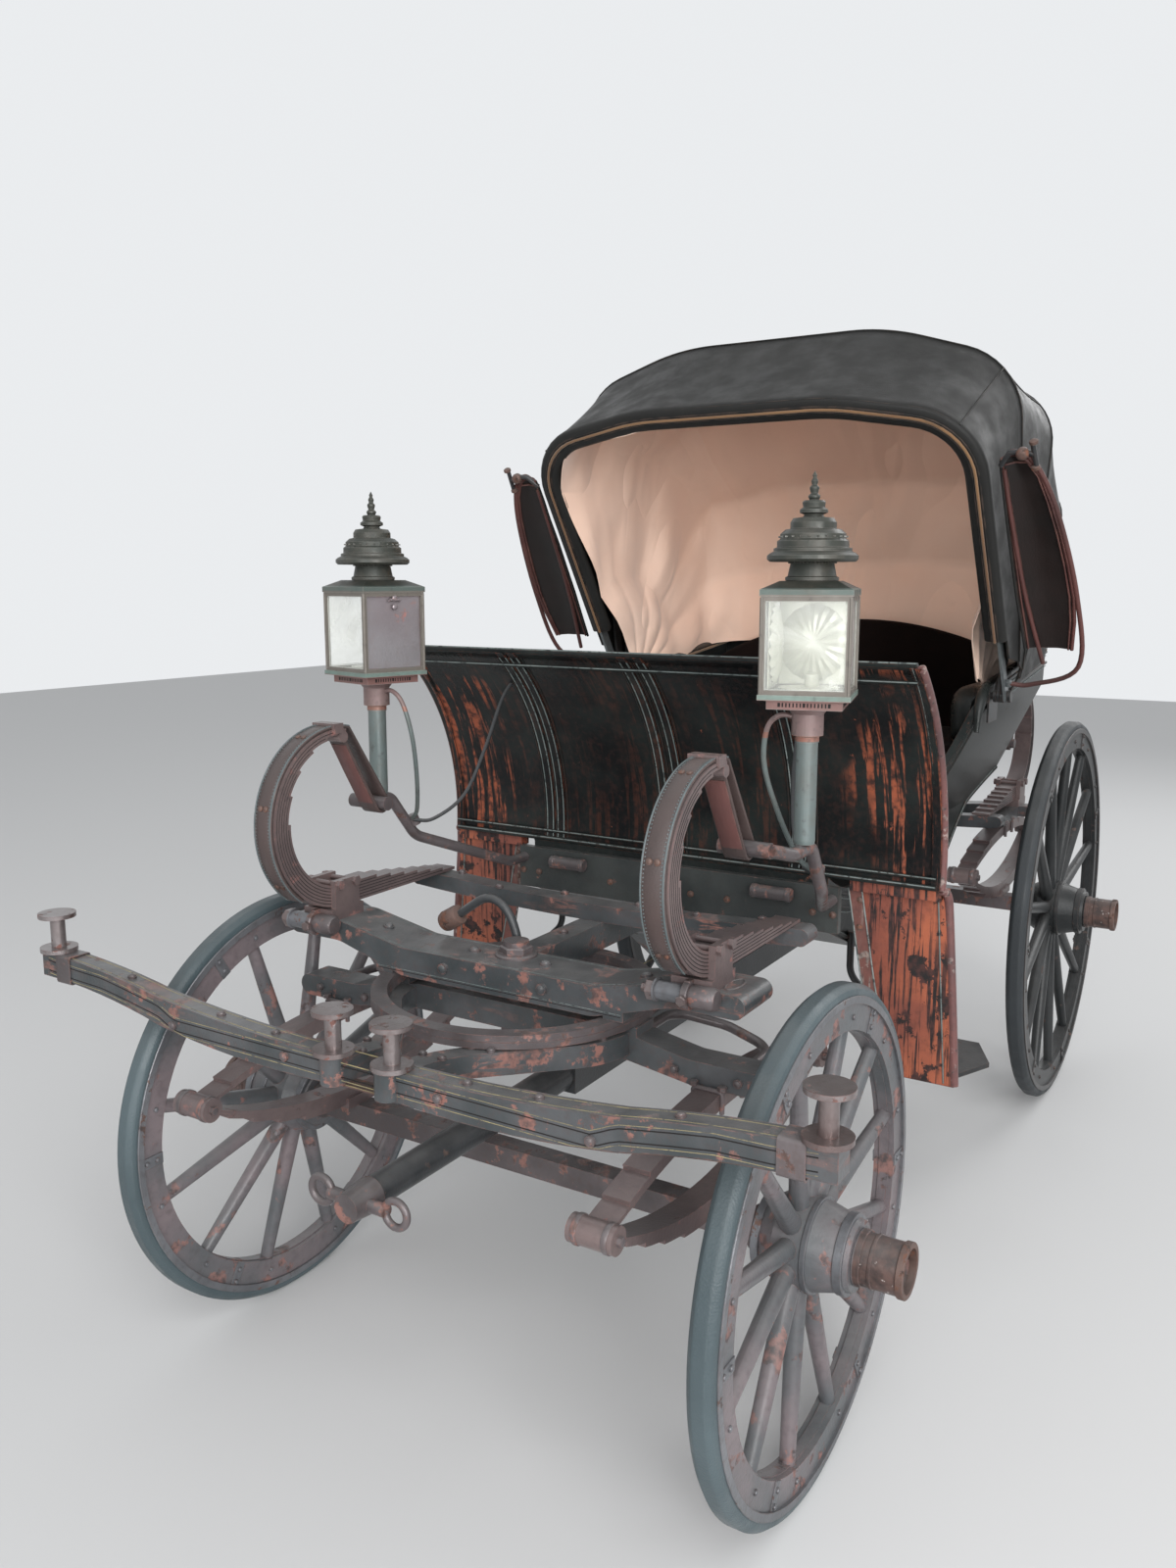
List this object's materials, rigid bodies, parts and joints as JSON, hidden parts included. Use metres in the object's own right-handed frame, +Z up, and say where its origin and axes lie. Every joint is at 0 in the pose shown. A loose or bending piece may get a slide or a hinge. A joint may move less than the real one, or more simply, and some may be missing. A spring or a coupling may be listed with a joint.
{
  "type": "four-wheeled horse carriage with a folding hood",
  "caption": "Open horse carriage with a raised leather hood, curled dash and lamps, hung by braces from C-springs over elliptic springs.",
  "frame": {"origin": "on the floor under the middle of the carriage's length and width", "axes": "+X forward, +Y to the carriage's left, +Z up"},
  "size_m": [2.9974, 1.6038, 2.1164],
  "materials": {
    "body_paint": "old coach paint, chipped to orange primer",
    "gear_paint": "dull green-black paint, rubbed and chipped",
    "worn_iron": "brown paint worn to rust and bare iron",
    "tyre_rubber": "dusty solid rubber",
    "black_leather": "dry black hood leather",
    "seat_cloth": "dark brown buttoned cloth",
    "lamp_bronze": "tarnished, greenish",
    "lamp_glass": "bevelled clear glass"
  },
  "bodies": {
    "carriage": {"body_shell": "body_paint", "seat_box": "body_paint", "seat_cushion": "seat_cloth", "seat_back": "seat_cloth", "front_board": "body_paint", "dash_board": "body_paint", "dash_wings": "body_paint", "steps": "worn_iron", "front_body_loops": "worn_iron", "rear_body_loops": "worn_iron", "front_braces": "black_leather", "rear_braces": "black_leather", "front_c_springs": "worn_iron", "rear_c_springs": "worn_iron", "transom": "gear_paint", "upper_wheel_plate": "worn_iron", "perch": "gear_paint", "perch_bolt": "worn_iron", "front_tail_bar": "gear_paint", "rear_tail_bar": "gear_paint", "hind_bed": "gear_paint", "rear_under_springs": "worn_iron", "rear_axle": "worn_iron", "stowed_pole": "gear_paint", "pole_head": "worn_iron", "pole_slings": "black_leather", "lamp_left": "lamp_bronze", "lamp_right": "lamp_bronze", "lamp_glass_left": "lamp_glass", "lamp_glass_right": "lamp_glass", "hood_pivots": "worn_iron", "hood_cover": "black_leather"},
    "fore_carriage": {"front_bed": "gear_paint", "lower_wheel_plate": "worn_iron", "futchells": "gear_paint", "splinter_bar": "gear_paint", "roller_bolts": "worn_iron", "bed_irons": "worn_iron", "front_axle": "worn_iron", "front_under_springs": "worn_iron"},
    "front_wheel_left": {"wheel_front_left": "gear_paint", "tyre_front_left": "tyre_rubber"},
    "front_wheel_right": {"wheel_front_right": "gear_paint", "tyre_front_right": "tyre_rubber"},
    "rear_wheel_left": {"wheel_rear_left": "gear_paint", "tyre_rear_left": "tyre_rubber"},
    "rear_wheel_right": {"wheel_rear_right": "gear_paint", "tyre_rear_right": "tyre_rubber"},
    "hood_front_bow": {"hood_bow_1": "worn_iron", "hood_side_wings": "black_leather"},
    "hood_second_bow": {"hood_bow_2": "worn_iron"},
    "hood_third_bow": {"hood_bow_3": "worn_iron"},
    "hood_back_bow": {"hood_bow_4": "worn_iron"}
  },
  "joints": [
    {"name": "steering", "type": "hinge", "parent": "carriage", "child": "fore_carriage", "pos_m": [1.02175, 0, 0.759], "axis": [0, 0, 1], "range_deg": [-33, 33]},
    {"name": "front_wheel_left_spin", "type": "hinge", "parent": "fore_carriage", "child": "front_wheel_left", "pos_m": [1.02175, 0.6, 0.437], "axis": [0, 1, 0], "continuous": true},
    {"name": "front_wheel_right_spin", "type": "hinge", "parent": "fore_carriage", "child": "front_wheel_right", "pos_m": [1.02175, -0.6, 0.437], "axis": [0, 1, 0], "continuous": true},
    {"name": "rear_wheel_left_spin", "type": "hinge", "parent": "carriage", "child": "rear_wheel_left", "pos_m": [-0.94125, 0.6, 0.5575], "axis": [0, 1, 0], "continuous": true},
    {"name": "rear_wheel_right_spin", "type": "hinge", "parent": "carriage", "child": "rear_wheel_right", "pos_m": [-0.94125, -0.6, 0.5575], "axis": [0, 1, 0], "continuous": true},
    {"name": "hood_fold", "type": "hinge", "parent": "carriage", "child": "hood_front_bow", "pos_m": [-0.31625, 0, 1.24], "axis": [0, -1, 0], "range_deg": [0, 91], "deforming": ["hood_cover"]},
    {"name": "hood_second_bow_fold", "type": "hinge", "parent": "carriage", "child": "hood_second_bow", "pos_m": [-0.31625, 0, 1.24], "axis": [0, -1, 0], "range_deg": [0, 77.4]},
    {"name": "hood_third_bow_fold", "type": "hinge", "parent": "carriage", "child": "hood_third_bow", "pos_m": [-0.31625, 0, 1.24], "axis": [0, -1, 0], "range_deg": [0, 57]},
    {"name": "hood_back_bow_fold", "type": "hinge", "parent": "carriage", "child": "hood_back_bow", "pos_m": [-0.31625, 0, 1.24], "axis": [0, -1, 0], "range_deg": [0, 40]}
  ],
  "couplings": [
    {"joint": "hood_second_bow_fold", "follows": "hood_fold", "ratio": 0.85055},
    {"joint": "hood_third_bow_fold", "follows": "hood_fold", "ratio": 0.62637},
    {"joint": "hood_back_bow_fold", "follows": "hood_fold", "ratio": 0.43956}
  ]
}
